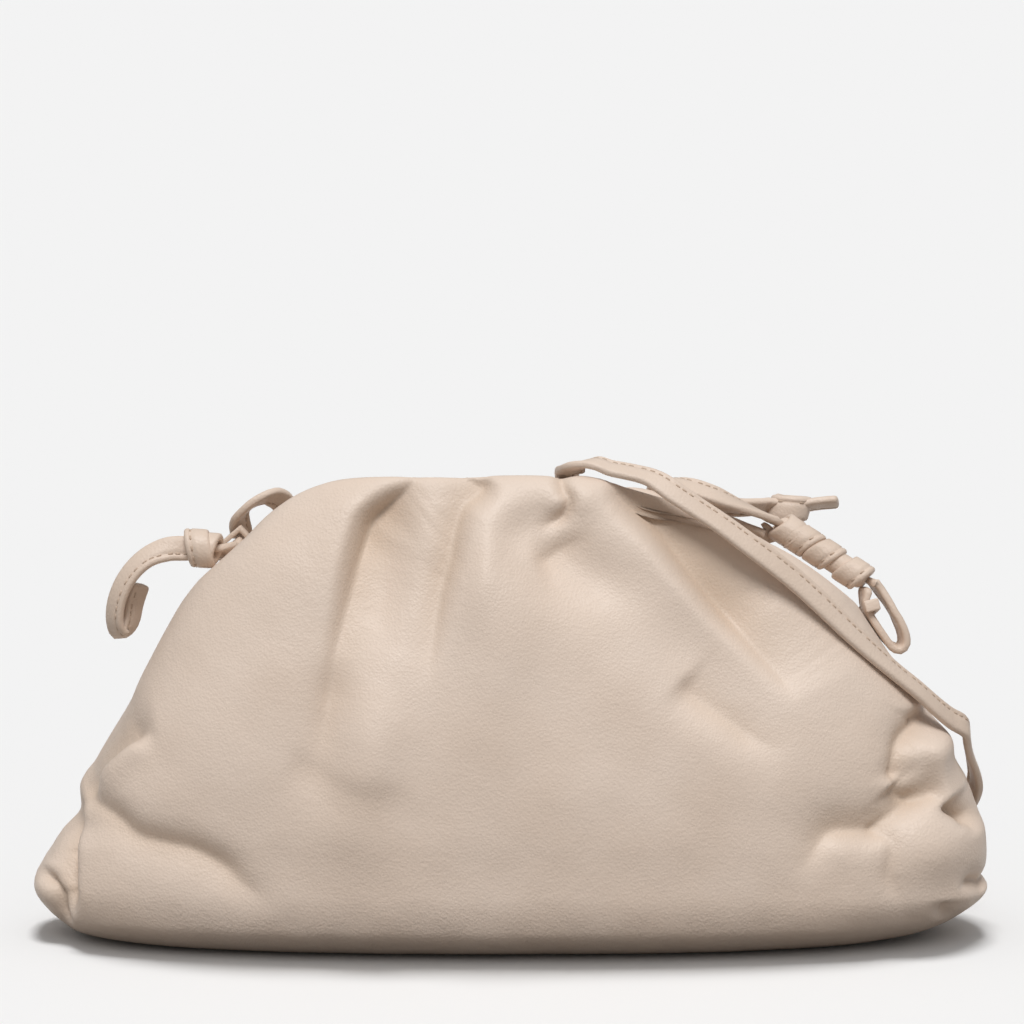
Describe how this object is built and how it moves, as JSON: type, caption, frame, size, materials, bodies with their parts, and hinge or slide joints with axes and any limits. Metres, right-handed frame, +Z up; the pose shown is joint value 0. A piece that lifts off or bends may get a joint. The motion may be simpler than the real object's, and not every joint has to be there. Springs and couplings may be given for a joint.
{
  "type": "gathered leather pouch bag with a knotted strap",
  "caption": "Soft hollow leather pouch bag with gathered mouth, folded sides and a long narrow strap knotted at both ends.",
  "frame": {"origin": "middle of the flat base on which the pouch stands", "axes": "+X along the mouth towards the sliding knot, -Y towards the front, +Z up"},
  "size_m": [0.2385, 0.1498, 0.1197],
  "materials": {
    "pouch_leather": "soft cream nappa, satin, fine grain",
    "strap_leather": "soft cream nappa, satin, stitched along one edge"
  },
  "bodies": {
    "root": {"pouch": "pouch_leather", "strap": "strap_leather", "left_keeper": "pouch_leather", "left_knot": "strap_leather", "left_tail": "strap_leather", "right_keeper": "pouch_leather", "sliding_knot": "strap_leather", "bight": "strap_leather", "free_end": "strap_leather", "stopper_knot": "strap_leather", "stopper_tail": "strap_leather"}
  },
  "joints": []
}
